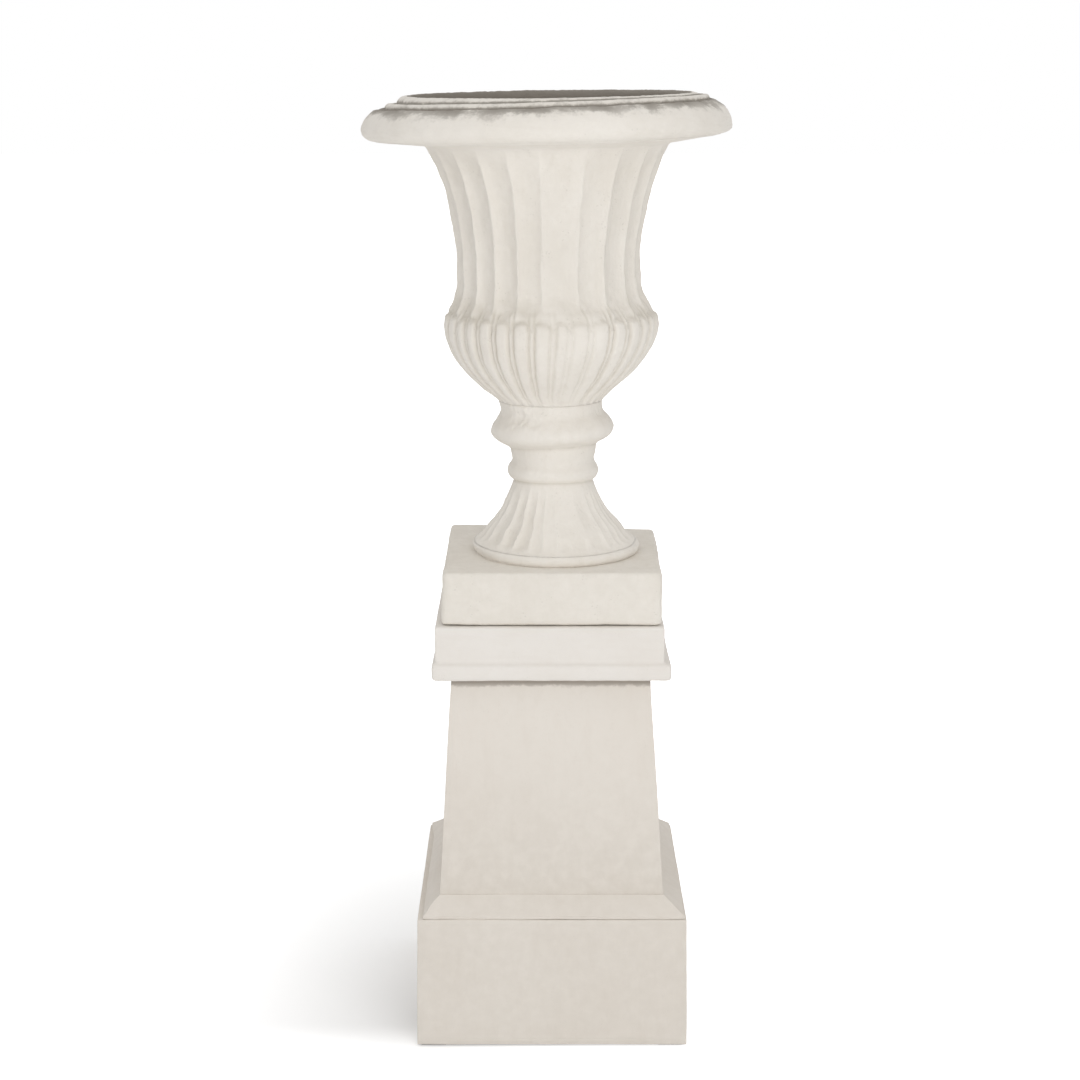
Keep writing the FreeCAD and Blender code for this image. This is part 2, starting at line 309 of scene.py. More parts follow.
def makeChalkGroup():
    # a limewashed casting: cloudy tone, dust and painted shade in the hollows, grey patina with painted shade
    # where its mask says so, brush strokes, grain, and pits darkened with painted shade
    group = bpy.data.node_groups.new("chalkyCasting", "ShaderNodeTree")
    for name, kind, value in (
        ("Vector", "NodeSocketVector", None), ("Strokes", "NodeSocketVector", None),
        ("Pale", "NodeSocketColor", (0.8, 0.76, 0.7, 1)),
        ("Cloud", "NodeSocketColor", (0.72, 0.67, 0.6, 1)),
        ("Dust", "NodeSocketColor", (0.5, 0.46, 0.38, 1)),
        ("Patina", "NodeSocketColor", (0.3, 0.27, 0.24, 1)),
        ("Cloud Size", "NodeSocketFloat", 7.0), ("Grain Size", "NodeSocketFloat", 420.0),
        ("Dust And Shade", "NodeSocketFloat", 0.0), ("Patina And Shade", "NodeSocketFloat", 0.0),
        ("Pits", "NodeSocketFloat", 0.5),
    ):
        addSocket(group, name, "INPUT", kind, value)
    addSocket(group, "Color", "OUTPUT", "NodeSocketColor")
    addSocket(group, "Roughness", "OUTPUT", "NodeSocketFloat")
    addSocket(group, "Height", "OUTPUT", "NodeSocketFloat")
    start = group.nodes.new("NodeGroupInput").outputs
    end = group.nodes.new("NodeGroupOutput").inputs
    where = start["Vector"]
    cloud = rangeNode(group, noiseNode(group, where, start["Cloud Size"], 4.0), 0.35, 0.72)
    speck = rangeNode(group, noiseNode(group, where, 95.0, 5.0, 0.7), 0.42, 0.78)
    strokes = noiseNode(group, start["Strokes"], 55.0, 4.0, 0.6)
    tone = mixColour(group, mathNode(group, "MULTIPLY", cloud, 0.5), start["Pale"], start["Cloud"])
    tone = mixColour(group, mathNode(group, "MULTIPLY", speck, 0.3), tone, start["Cloud"])
    tone = mixColour(group, rangeNode(group, strokes, 0.48, 0.75, 0.0, 0.4), tone, start["Cloud"])
    # the dust colour goes where the hollows mask is high: dust, and painted shade in creases and recesses
    dust = rangeNode(group, noiseNode(group, where, 60.0), 0.2, 0.7, 0.4, 1)
    dust = mathNode(group, "MULTIPLY", start["Dust And Shade"], dust)
    tone = mixColour(group, mathNode(group, "MULTIPLY", dust, 0.6), tone, start["Dust"])
    # the patina colour goes where the wash mask is high: real patina, painted shade on the rim's inner side,
    # and a painted shadow under the cap's lip
    torn = mathNode(group, "ADD", noiseNode(group, where, 120.0, 6.0, 0.75),
                    noiseNode(group, where, 32.0, 3.0))
    torn = rangeNode(group, mathNode(group, "ADD", torn, start["Patina And Shade"]), 1.28, 1.72)
    patinaAndShade = mathNode(group, "MULTIPLY", torn, start["Patina And Shade"])
    tone = mixColour(group, mathNode(group, "MINIMUM", patinaAndShade, 0.92), tone, start["Patina"])
    cells = group.nodes.new("ShaderNodeTexVoronoi")
    cells.inputs["Scale"].default_value = 210.0
    wire(group, (where, cells.inputs["Vector"]))
    pit = rangeNode(group, cells.outputs["Distance"], 0.10, 0.26, 1.0, 0.0)
    pit = mathNode(group, "MULTIPLY", pit, rangeNode(group, noiseNode(group, where, 38.0, 2.0), 0.52, 0.66))
    pit = mathNode(group, "MULTIPLY", pit, start["Pits"])
    grain = mathNode(group, "MULTIPLY", noiseNode(group, where, start["Grain Size"], 5.0, 0.62), 0.3)
    lumps = mathNode(group, "MULTIPLY", noiseNode(group, where, 90.0, 4.0, 0.6), 0.55)
    height = mathNode(group, "ADD", grain, lumps)
    height = mathNode(group, "ADD", height, mathNode(group, "MULTIPLY", strokes, 0.5))
    height = mathNode(group, "SUBTRACT", height, mathNode(group, "MULTIPLY", pit, 0.9))
    # the pits are darkened towards the patina colour: painted shade in them, with some dirt
    tone = mixColour(group, mathNode(group, "MULTIPLY", pit, 0.35), tone, start["Patina"])
    wire(group, (tone, end["Color"]), (height, end["Height"]))
    wire(group, (rangeNode(group, speck, 0.0, 1.0, 0.82, 0.93), end["Roughness"]))
    return group


chalkGroup = makeChalkGroup()


def newMaterial(name, roughness=0.6, metallic=0.0, specular=0.3):
    material = bpy.data.materials.new(name)
    material.use_nodes = True
    shader = material.node_tree.nodes["Principled BSDF"]
    shader.inputs["Roughness"].default_value = roughness
    shader.inputs["Metallic"].default_value = metallic
    shader.inputs["Specular IOR Level"].default_value = specular
    return material, material.node_tree, shader


def chalkMaterial(name, look):
    material, tree, shader = newMaterial(name, specular=0.2)
    chalk = tree.nodes.new("ShaderNodeGroup")
    chalk.node_tree = chalkGroup
    spot = tree.nodes.new("ShaderNodeTexCoord").outputs["Object"]
    stretch = tree.nodes.new("ShaderNodeMapping")
    stretch.inputs["Scale"].default_value = look["strokes"]
    for key in ("Pale", "Cloud", "Dust", "Patina"):
        chalk.inputs[key].default_value = (*look[key.lower()], 1.0)
    chalk.inputs["Cloud Size"].default_value = look["cloudSize"]
    chalk.inputs["Grain Size"].default_value = look["grainSize"]
    chalk.inputs["Pits"].default_value = look["pits"]
    wire(tree, (spot, chalk.inputs["Vector"]), (spot, stretch.inputs["Vector"]),
         (stretch.outputs["Vector"], chalk.inputs["Strokes"]))
    # the hollows mask brings dust and painted shade, the wash mask patina and painted shade
    for mask, socket in (("hollow", "Dust And Shade"), ("patinaAndShade", "Patina And Shade")):
        layer = tree.nodes.new("ShaderNodeAttribute")
        layer.attribute_name = mask
        wire(tree, (layer.outputs["Fac"], chalk.inputs[socket]))
    bump = tree.nodes.new("ShaderNodeBump")
    bump.inputs["Strength"].default_value = look["bump"]
    bump.inputs["Distance"].default_value = 0.0014
    wire(tree, (chalk.outputs["Height"], bump.inputs["Height"]),
         (bump.outputs["Normal"], shader.inputs["Normal"]),
         (chalk.outputs["Color"], shader.inputs["Base Color"]))
    wire(tree, (chalk.outputs["Roughness"], shader.inputs["Roughness"]))
    return material


urnLook = {
    # the dust and patina colours also paint shade where the masks put them
    "pale": (0.832, 0.792, 0.732), "cloud": (0.747, 0.702, 0.632), "dust": (0.53, 0.485, 0.40),
    "patina": (0.22, 0.195, 0.165), "cloudSize": 9.0, "grainSize": 380.0, "pits": 0.4, "bump": 0.7,
    "strokes": (1.0, 1.0, 0.12),
}
urnFinish = chalkMaterial("urnChalk", urnLook)
rimFinish = chalkMaterial("rimChalk", {**urnLook, "strokes": (0.25, 0.25, 1.6)})     # brushed round
capFinish = chalkMaterial("capChalk", {
    "pale": (0.80, 0.765, 0.72), "cloud": (0.755, 0.71, 0.655), "dust": (0.55, 0.50, 0.43),
    "patina": (0.36, 0.33, 0.29), "cloudSize": 7.0, "grainSize": 520.0, "pits": 0.25, "bump": 0.25,
    "strokes": (0.3, 0.3, 1.3)})
pedestalFinish = chalkMaterial("pedestalChalk", {
    "pale": (0.77, 0.723, 0.662), "cloud": (0.72, 0.665, 0.60), "dust": (0.50, 0.45, 0.38),
    "patina": (0.34, 0.30, 0.26), "cloudSize": 5.0, "grainSize": 560.0, "pits": 0.2, "bump": 0.2,
    "strokes": (1.0, 1.0, 0.25)})
print("stone finishes made")


# how the urn stands: its axis wanders, and the knop and the rim are set a little askew
stance = {
    "wander": [(0.72, 4.9), (0.76, 4.4), (0.80, 1.8), (0.83, 1.9), (0.85, 1.8), (0.865, 2.5), (0.88, 2.0),
               (0.89, 0.8), (0.915, 1.0), (0.935, -1.0), (0.96, -4.8), (1.01, -3.2), (1.06, -0.8),
               (1.10, -4.0), (1.14, -5.5), (1.25, -5.5), (1.31, -6.8), (1.345, -8.6), (1.39, -7.0)],
    "roll": [(0.845, 0.0), (0.875, 3.2), (0.892, 1.8), (0.915, 1.5), (0.945, 0.2), (1.05, 0.5), (1.22, 0.5),
             (1.30, 0.9), (1.317, 0.8), (1.3265, 1.4), (1.3405, 1.52), (1.366, 1.75), (1.3795, 1.75),
             (1.386, 0.8)],
    "pitch": [(1.30, 0.0), (1.3265, 0.3), (1.366, 0.2), (1.3795, 0.1), (1.386, 0.69)],
    "frontLean": 0.003, "leanFrom": 1.0, "leanRun": 0.35,
    "stillRadius": 0.042, "setRadius": 0.062,      # the drain tube's bore stays true
}


def alongHeight(z, points):
    return np.interp(z, [p[0] for p in points], [p[1] for p in points])


def askew(co):
    # the wander is in millimetres, the roll and the pitch in degrees
    s = stance
    radius = np.hypot(co[:, 0], co[:, 1])
    hold = rise(radius, s["stillRadius"], s["setRadius"] - s["stillRadius"])
    z = co[:, 2]
    moved = co.copy()
    moved[:, 0] += 0.001 * alongHeight(z, s["wander"]) * hold
    moved[:, 1] -= s["frontLean"] * rise(z, s["leanFrom"], s["leanRun"]) * hold
    moved[:, 2] += co[:, 0] * np.tan(np.radians(alongHeight(z, s["roll"]))) * hold
    moved[:, 2] += co[:, 1] * np.tan(np.radians(alongHeight(z, s["pitch"]))) * hold
    return moved


plaster = {
    "lumps": [(0.0009, 0.032, 0.0), (0.0009, 0.015, 3.0)],      # height, size and seed
    "grain": (0.0004, 0.0065, 9.0),
    "overhang": (0.4, 0.4), "smoothed": 0.6,      # faces that look down were smoothed more
}


def handed(co, out, strength=1.0):
    # the plaster's lumps and trowel marks
    height, size, seed = plaster["grain"]
    lumps = height * grainy(co, size, 2, seed)
    for height, size, seed in plaster["lumps"]:
        lumps = lumps + height * rough(co, size, seed)
    under = 1.0 - plaster["smoothed"] * rise(-out[:, 2], *plaster["overhang"])
    return out * (lumps * under * strength)[:, None]


# urn bowl: fluted bell, gadrooned bulge and rolled rim, one casting
bowl = {
    "steps": 620, "bulgeGap": 0.0029, "bellGap": 0.0055, "rimGap": 0.0046, "curveGap": 0.003,
    "skinGap": 0.002,
    "jointZ": 0.944, "spigotRadius": 0.0405, "spigotFoot": 0.933, "tubeHole": 0.0135, "innerFootZ": 0.9445,
    "bulge": [(0.0785, 0.944), (0.0796, 0.9455), (0.0872, 0.9525), (0.1032, 0.966), (0.1218, 0.983),
              (0.137, 1.001), (0.1482, 1.019), (0.1556, 1.037), (0.1584, 1.053), (0.1574, 1.064),
              (0.1550, 1.072), (0.1508, 1.081), (0.1434, 1.090), (0.1394, 1.098), (0.1368, 1.107),
              (0.1356, 1.118)],
    "throatRadius": 0.1348, "throatZ": 1.148, "flareRadius": 0.358, "bellTop": 1.310,
    "swell": 0.0013, "swellZ": 1.213, "swellWidth": 0.03,
    "underZ": 1.317, "underTurn": 155, "noseUnderZ": 1.3255, "noseZ": 1.3405, "noseRadius": 0.2662,
    "noseUpper": (0.030, 0.0315), "noseLower": (0.018, 0.014), "creviceRadius": 0.2325, "creviceZ": 1.3728,
    "core": [(0.226, 1.366), (0.205, 1.343), (0.178, 1.328), (0.163, 1.308), (0.147, 1.280), (0.138, 1.255),
             (0.130, 1.230), (0.1235, 1.19), (0.1198, 1.12), (0.136, 1.075), (0.139, 1.05), (0.122, 1.005),
             (0.085, 0.966), (0.055, 0.958)],
}
flutes = {
    "ridges": fullCircle([-65.5, -50.0, -34.8, -19.2, -4.2, 17.9, 36.0, 53.5, 68.0], 20),
    "depth": 0.0082, "faint": {3: 0.9, 4: 0.55, 5: 0.8},       # the wide panel in front is cut less deep
    "section": 2.6, "skew": 0.12,
    "bottom": 1.064, "bottomRun": 0.020, "bottomArch": 0.006,
    "panelAngle": 4.0, "panelWidth": 24.0, "panelRise": 0.022,
    "top": 1.312, "topRun": 0.030, "topArch": 0.008, "kept": 0.3, "underGap": 0.0015, "underRun": 0.008,
}
gadroons = {
    "creases": fullCircle([-73, -62, -53, -43.5, -32.4, -21.8, -10.3, 0.8, 9.8, 21.4, 33.6, 44.8, 55.4,
                           65, 75], 30),
    "worn": {6: 0.9, 7: 0.6, 8: 0.35, 9: 0.4},
    "depth": 0.0046, "crown": 0.0027, "crownKept": 0.4, "grooveWidth": 0.0022,
    "filletHalf": 0.0040, "filletDepth": 0.0012, "filletRadius": 0.158,
    "top": 1.070, "arch": 0.014, "archRun": 0.0045, "archWidth": 0.004, "overCut": 0.6, "archCut": 0.35,
    "shoulderGap": 0.004, "shoulderRun": 0.020, "footKept": 0.35, "footRun": 0.03,
}
# creases that run on over the shoulder: the angle of a flute's ridge, then of a gadroon's crease
shoulderLines = {
    "pairs": [(-50.0, -53.0), (-34.8, -32.4), (-19.2, -21.8), (17.9, 21.4), (36.0, 33.6), (53.5, 55.4)],
    "top": 1.100, "topRun": 0.010, "bottom": 1.064, "bottomRun": 0.006, "width": 0.0022, "depth": 0.0014,
}
# how the lines wander: degrees, size and seed
lineWander = {"slow": (0.9, 0.09, 7.0), "quick": (0.35, 0.03, 4.0), "slowStretch": 0.6, "lowShare": 0.6}
shoulderPlaster = {"bottom": (1.060, 0.01), "top": (1.112, 0.02), "lump": (0.0012, 0.014, 5.0),
                   "crumb": (0.0006, 0.007, 8.0)}
rimWear = {
    "ends": (40.0, 145.0, 45.0),      # the angles of the rim's right end, rounder above and squarer below
    "squareZ": 1.3300, "squareWidth": 0.006, "squareFrom": 0.23, "square": 0.0032,
    "sinkRadius": (0.238, 0.014), "sinkZ": (1.345, 0.012), "sink": 0.0032,
    # where the rim's patina lies, and the crevice painted with shade
    "patina": (1.347, 0.021), "band": (1.3635, 0.008), "creviceShade": (0.2330, 0.004), "creviceFrom": 1.36,
    "tornSize": 0.045, "tornSeed": 21.0, "torn": (-0.35, 0.5),
    "flakeHeight": 0.0012, "flakeSize": 0.010, "flakeSeed": 2.0, "flakeSink": 0.0003,
}


def bowlSkin():
    b = bowl
    heights = np.arange(b["bulge"][-1][1] + b["bellGap"], b["bellTop"] + 0.001, b["bellGap"])
    sweep = [b["flareRadius"] - math.sqrt(b["flareRadius"] ** 2 - (h - b["throatZ"]) ** 2) for h in heights]
    swell = [b["swell"] * hump(h, b["swellZ"], b["swellWidth"]) for h in heights]
    flare = [(b["throatRadius"] + out + more, h) for out, more, h in zip(sweep, swell, heights)]
    return joined(curveThrough(b["bulge"], b["bulgeGap"]), flare)


def bowlOutline(skin):
    b, gap = bowl, bowl["rimGap"]
    turn = math.radians(b["underTurn"])
    curve = (b["underZ"] - skin[-1][1]) / (1 - math.sin(turn))      # runs on from the flare without a kink
    underRadius = skin[-1][0] - curve * math.cos(turn)
    upper, lower = b["noseUpper"], b["noseLower"]
    lowerRadius = b["noseRadius"] - lower[0]
    upperRadius = b["noseRadius"] - upper[0]
    return joined(
        straight((b["tubeHole"], b["spigotFoot"]), (b["spigotRadius"], b["spigotFoot"]), 0.02),
        [(b["spigotRadius"], b["jointZ"]), (skin[0][0] - 0.001, b["jointZ"])],
        skin,
        arc((underRadius, b["underZ"] - curve), curve, curve, b["underTurn"], 90, b["curveGap"]),
        straight((underRadius, b["underZ"]), (lowerRadius, b["noseUnderZ"]), 0.009),
        arc((lowerRadius, b["noseZ"]), lower[0], lower[1], -90, 0, gap),
        arc((upperRadius, b["noseZ"]), upper[0], upper[1], 0, 90, gap),
        straight((upperRadius - 0.003, b["creviceZ"]), (b["creviceRadius"], b["creviceZ"]), 0.003),
        b["core"],
        [(b["tubeHole"], b["innerFootZ"])],
    )


def fluteDepth(angle, z):
    f = flutes
    u, number, _ = between(angle, f["ridges"])
    hollow = (1.0 - np.abs(u) ** f["section"]) * (1.0 - f["skew"] * u)
    upper = f["kept"] + (1 - f["kept"]) * fall(z, f["top"] - f["topArch"] * np.abs(u) ** 3, f["topRun"])
    upper = upper * fall(z, bowl["underZ"] + f["underGap"], f["underRun"])
    bottom = f["bottom"] + f["panelRise"] * hump(angle, f["panelAngle"], f["panelWidth"])
    lower = rise(z, bottom + f["bottomArch"] * u ** 2, f["bottomRun"])
    return f["depth"] * perLine(f["ridges"], f["faint"])[number] * hollow * upper * lower


def gadroonDepth(radius, angle, z):
    g = gadroons
    u, number, width = between(angle, g["creases"])
    strength = perLine(g["creases"], g["worn"])
    near = np.where(u > 0, strength[(number + 1) % len(strength)], strength[number])
    away = (1.0 - np.abs(u)) * np.radians(width) / 2.0 * radius       # distance from the crease, in metres
    half = g["filletHalf"] * radius / g["filletRadius"]
    line = hump(away, half, g["grooveWidth"])
    fillet = (away < half) * (1.0 - line) * g["filletDepth"] / g["depth"]
    archZ = g["top"] - g["arch"] * np.abs(u) ** 3
    over = rise(z, archZ, g["archRun"])
    outline = hump(z, archZ + g["archRun"], g["archWidth"])
    groove = np.maximum(line, fillet) * near
    groove = np.maximum(groove, over * (g["overCut"] + g["archCut"] * outline * near))
    shoulder = 1.0 - rise(z, g["top"] + g["shoulderGap"], g["shoulderRun"])
    foot = g["footKept"] + (1 - g["footKept"]) * rise(z, bowl["jointZ"], g["footRun"])
    crown = g["crown"] * u ** 2 * (1.0 - over) * (g["crownKept"] + (1 - g["crownKept"]) * near)
    cut = (g["depth"] * groove + crown) * shoulder * foot
    # a mask along the creases and the arches' outlines, for painted shade
    creaseShade = np.maximum(line, outline * over) * near * shoulder * foot
    return cut, creaseShade


def shoulderGroove(radius, angle, z):
    s = shoulderLines
    groove = np.zeros(len(z))
    for upper, lower in s["pairs"]:
        middle = np.interp(z, [s["bottom"], s["top"]], [lower, upper])
        groove = np.maximum(groove, hump(np.radians(angle - middle) * radius, 0.0, s["width"]))
    return groove * rise(z, s["bottom"], s["bottomRun"]) * fall(z, s["top"], s["topRun"])


def brushRound(piece, lowest, innermost):
    # the rim's faces take the finish that is brushed round it
    piece.data.materials.append(rimFinish)
    for face in piece.data.polygons:
        onRim = face.center.z > lowest and math.hypot(face.center.x, face.center.y) > innermost
        face.material_index = int(onRim)


def wanderingAngle(co, angle):
    w = lineWander
    stretched = np.c_[co[:, 0], co[:, 1], co[:, 2] * w["slowStretch"]]
    wobble = w["slow"][0] * rough(stretched, *w["slow"][1:]) + w["quick"][0] * rough(co, *w["quick"][1:])
    return angle + wobble, angle + w["lowShare"] * wobble


def makeBowl():
    r = rimWear
    skin = bowlSkin()
    piece = turnedPiece("urn_bowl_cast", bowlOutline(skin), bowl["steps"])
    piece.data.materials.append(urnFinish)
    brushRound(piece, bowl["bellTop"] + 0.004, skin[-1][0])
    co = places(piece)
    radius, angle = polar(co)
    z = co[:, 2].copy()
    inside = radiusAt(z, bowl["core"][::-1]) + bowl["skinGap"]
    exposed = (radius > inside) & (z > bowl["jointZ"] + 0.0005)

    # flutes, gadroons, and the creases that link them
    highAngle, lowAngle = wanderingAngle(co, angle)
    flute = fluteDepth(highAngle, z) * exposed
    gadroon, creaseShade = gadroonDepth(radius, lowAngle, z)
    link = shoulderGroove(radius, lowAngle, z) * exposed
    first, last, run = r["ends"]
    rightEnd = rise(angle, first, run) * fall(angle, last, run)
    square = hump(z, r["squareZ"], r["squareWidth"]) * rightEnd * (radius > r["squareFrom"])
    cutInward(co, radius, flute + gadroon * exposed + shoulderLines["depth"] * link - r["square"] * square)
    co[:, 2] -= r["sink"] * rightEnd * rise(radius, *r["sinkRadius"]) * rise(z, *r["sinkZ"])
    putPlaces(piece, co)

    # plaster on the skin, thicker on the shoulder, and flaking round the rim
    out = outward(piece)
    move = handed(co, out)
    shoulder = rise(z, *shoulderPlaster["bottom"]) * fall(z, *shoulderPlaster["top"])
    for height, size, seed in (shoulderPlaster["lump"], shoulderPlaster["crumb"]):
        move += out * (shoulder * height * rough(co, size, seed))[:, None]
    upper = rise(z, *r["patina"])
    torn = rise(rough(co, r["tornSize"], r["tornSeed"]), *r["torn"])
    flakes = r["flakeHeight"] * grainy(co, r["flakeSize"], 3, r["flakeSeed"]) - r["flakeSink"]
    move += out * (upper * torn * flakes)[:, None]
    co += np.where(exposed[:, None], move, 0.0)

    # painted shade: darker in the gadroons' creases and arches, the flutes' hollows, the shoulder lines and
    # the rim's crevice, with dust in the shoulder's torn plaster; the rim's patina is its own, with painted
    # shade added in the crevice
    creviceShade = hump(radius, *r["creviceShade"]) * (z > r["creviceFrom"])
    dustAndShade = 0.75 * creaseShade + 0.22 * flute / flutes["depth"] + 0.3 * shoulder * torn + 0.5 * link
    keepMask(piece, "hollow", exposed * dustAndShade + 0.7 * creviceShade)
    keepMask(piece, "patinaAndShade", upper * (0.40 + 0.26 * rise(z, *r["band"]) + 0.5 * creviceShade + 0.16 * torn))
    putPlaces(piece, askew(co))
    smoothShade(piece, 180)
    settle(piece, "urn_bowl", "urn")


makeBowl()

mouth = {
    "steps": 480, "gap": 0.003, "curveGap": 0.0022, "innerGap": 0.012,
    "footRadius": 0.2325, "footZ": 1.3688, "stepTop": 1.379, "stepCurve": 0.0055, "stepInner": 0.2178,
    "lipMiddle": 0.2067, "lipCurve": 0.0097, "lipOuterZ": 1.379, "lipInnerZ": 1.376, "lipTop": 1.386,
    "radius": 0.197, "seatZ": 1.348,
    "well": [(0.170, 1.330), (0.146, 1.290), (0.124, 1.230), (0.1150, 1.170), (0.1145, 1.110), (0.124, 1.084),
             (0.131, 1.058), (0.124, 1.026), (0.099, 0.995), (0.078, 0.979), (0.052, 0.972)],
    "sumpRadius": 0.038, "sumpZ": 0.954,
    "lumps": [(0.0005, 0.012, 3.0), (0.0007, 0.035, 30.0)], "crumb": (0.0005, 0.007, 12.0),
    "crestWidth": 0.008, "crestOut": 0.0012, "crestSlant": 0.0030,      # worn slanting on the left
    # where shade is painted: the crevice, the foot of the lip, and its inner side fading downwards
    "creviceRadius": 0.2172, "creviceWidth": 0.0014, "footShadeWidth": 0.0028, "footShadeFrom": 0.229,
    "innerShadeRun": 0.004, "innerShadeFade": (1.25, 0.08),
}


def mouthOutline():
    m, b = mouth, bowl
    curve = m["stepCurve"]
    outerHeight, innerHeight = m["lipTop"] - m["lipOuterZ"], m["lipTop"] - m["lipInnerZ"]
    return joined(
        straight((m["footRadius"], m["footZ"]), (m["footRadius"], m["stepTop"] - curve), m["gap"]),
        arc((m["footRadius"] - curve, m["stepTop"] - curve), curve, curve, 0, 90, 0.002),
        [(m["stepInner"], m["stepTop"]), (m["lipMiddle"] + m["lipCurve"] + 0.0006, m["stepTop"] - 0.0009)],
        arc((m["lipMiddle"], m["lipOuterZ"]), m["lipCurve"], outerHeight, 0, 90, m["curveGap"]),
        arc((m["lipMiddle"], m["lipInnerZ"]), m["lipCurve"], innerHeight, 90, 180, m["curveGap"]),
        straight((m["radius"], m["lipInnerZ"] - 0.003), (m["radius"], m["seatZ"]), 0.008),
        curveThrough([(m["radius"], m["seatZ"])] + m["well"], m["innerGap"]),
        [(m["sumpRadius"], m["well"][-1][1]), (m["sumpRadius"], m["sumpZ"]), (b["tubeHole"], m["sumpZ"]),
         (b["tubeHole"], b["innerFootZ"])],
        b["core"][::-1],
    )


def makeMouth():
    m = mouth
    piece = turnedPiece("urn_bowl_lip", mouthOutline(), m["steps"])
    piece.data.materials.append(rimFinish)
    co = places(piece)
    radius, angle = polar(co)
    z = co[:, 2].copy()
    out = outward(piece)
    exposed = radius < radiusAt(z, bowl["core"][::-1]) - bowl["skinGap"]
    onTop = (z > m["footZ"] - 0.001) & (radius > m["radius"] - 0.0005)
    inside = exposed & ~onTop & (z > 0.98)
    ragged = m["crumb"][0] * grainy(co, m["crumb"][1], 3, m["crumb"][2])
    for height, size, seed in m["lumps"]:
        ragged = ragged + height * rough(co, size, seed)
    co += out * np.where(onTop, ragged, 0.0)[:, None]
    crest = hump(radius, m["lipMiddle"], m["crestWidth"]) * onTop
    cutInward(co, radius, crest * (m["crestOut"] - m["crestSlant"] * np.sin(np.radians(angle))))
    co += np.where(inside[:, None], handed(co, out, 0.7), 0.0)

    # painted shade in the crevice, along the foot where the lip sits on the nose and over the inside of the
    # well, with some dust; painted shade and patina on the lip's inner side and far wall; the rim's top keeps
    # its own patina
    creviceShade = hump(radius, m["creviceRadius"], m["creviceWidth"])
    foot = hump(z, m["footZ"] + 0.003, m["footShadeWidth"]) * (radius > m["footShadeFrom"])
    keepMask(piece, "hollow", np.where(onTop, 0.6 * creviceShade + foot, 0.6))
    inner = fall(radius, m["lipMiddle"] + 0.0005, m["innerShadeRun"]) * rise(z, *m["innerShadeFade"])
    keepMask(piece, "patinaAndShade", np.where(onTop, 0.36 + 0.55 * creviceShade + 0.4 * foot, 0.0) + 0.85 * inner)
    putPlaces(piece, askew(co))
    smoothShade(piece, 180)
    settle(piece, "urn_bowl", "urn")


makeMouth()


# urn stem: collar, knop, small ring, fluted foot and foot ring
stem = {
    "steps": 600, "gap": 0.0027, "bottom": 0.7142, "top": 0.944,
    "ringRadius": 0.1272, "ringZ": 0.7220, "ringCurve": 0.0082,
    "flare": [(0.1215, 0.7304), (0.1160, 0.7342), (0.1085, 0.7415), (0.1002, 0.753), (0.0910, 0.7635),
              (0.0822, 0.7745), (0.0750, 0.7865), (0.0688, 0.7995), (0.0638, 0.811), (0.0590, 0.8215)],
    "smallRing": [(0.0594, 0.8228), (0.0646, 0.8270), (0.0678, 0.8355), (0.0663, 0.843), (0.0620, 0.850),
                  (0.0610, 0.8565), (0.0630, 0.8635), (0.0640, 0.8725)],
    "knop": [(0.0644, 0.8735), (0.0680, 0.8768), (0.0790, 0.8835), (0.0885, 0.8915), (0.0914, 0.8985),
             (0.0896, 0.9070), (0.0824, 0.9175), (0.0770, 0.9245), (0.0756, 0.931), (0.0766, 0.9405)],
    # creases that stand higher in front: height, width and rise
    "frontRises": [(0.8225, 0.008, 0.0038), (0.8740, 0.010, 0.0060)],
    # lines painted with shade: the two creases, and one where the foot ring meets the flare, on the front
    # only
    "creases": [0.8225, 0.8735], "creaseWidth": 0.0014, "ringShadeLine": 0.7315, "ringShadeWidth": 0.0015,
    "socketRadius": 0.041, "socketZ": 0.9325, "boreRadius": 0.015,
    "shoulderZ": 0.790, "shoulderRadius": 0.034, "coreRadius": 0.0845, "skinGap": 0.004,
    "buried": 0.005, "buriedAngle": (-85.0, 42.0), "buriedTop": (0.731, 0.010),      # the ring's left side
    # loose plaster on the left of the collar
    "loose": 0.0028, "looseSize": 0.011, "looseFrom": (0.905, 0.01), "looseAngle": (-32.0, 24.0),
}
footFlutes = {
    "ridges": fullCircle([-76, -65.5, -48, -33, -20.5, -10, 1.5, 14, 28, 45, 55, 63, 72], 28),
    "faint": {0: 0.8, 1: 1.1, 2: 1.45, 3: 1.3, 4: 0.75, 5: 0.4, 6: 0.12, 7: 0.1, 8: 0.55, 9: 0.5, 10: 0.5,
              11: 0.45},
    "wander": [(2.2, 0.05, 4.0), (1.3, 0.018, 14.0)],      # degrees, size and seed
    "scallop": 0.5, "scallopTop": (0.751, 0.006), "depth": 0.0046, "section": 2.2,
    "bottom": 0.7325, "bottomArch": 0.004, "bottomRun": 0.006, "top": 0.819, "topRun": 0.022,
    "narrowing": [(0.735, 1.0), (0.80, 0.55)],
}


def stemOutline():
    s, gap = stem, stem["gap"]
    return joined(
        straight((s["coreRadius"], s["bottom"]), (s["ringRadius"] - 0.004, s["bottom"]), 0.03),
        arc((s["ringRadius"] - s["ringCurve"], s["ringZ"]), s["ringCurve"], s["ringCurve"], -70, 80, gap),
        curveThrough(s["flare"], gap), curveThrough(s["smallRing"], gap), curveThrough(s["knop"], gap),
        [(0.0770, s["top"]), (s["socketRadius"], s["top"]), (s["socketRadius"], s["socketZ"]),
         (s["boreRadius"], s["socketZ"])],
        straight((s["boreRadius"], s["socketZ"] - 0.01), (s["boreRadius"], s["shoulderZ"]), 0.05),
        straight((s["shoulderRadius"], s["shoulderZ"]), (s["coreRadius"], s["bottom"]), 0.03),
    )


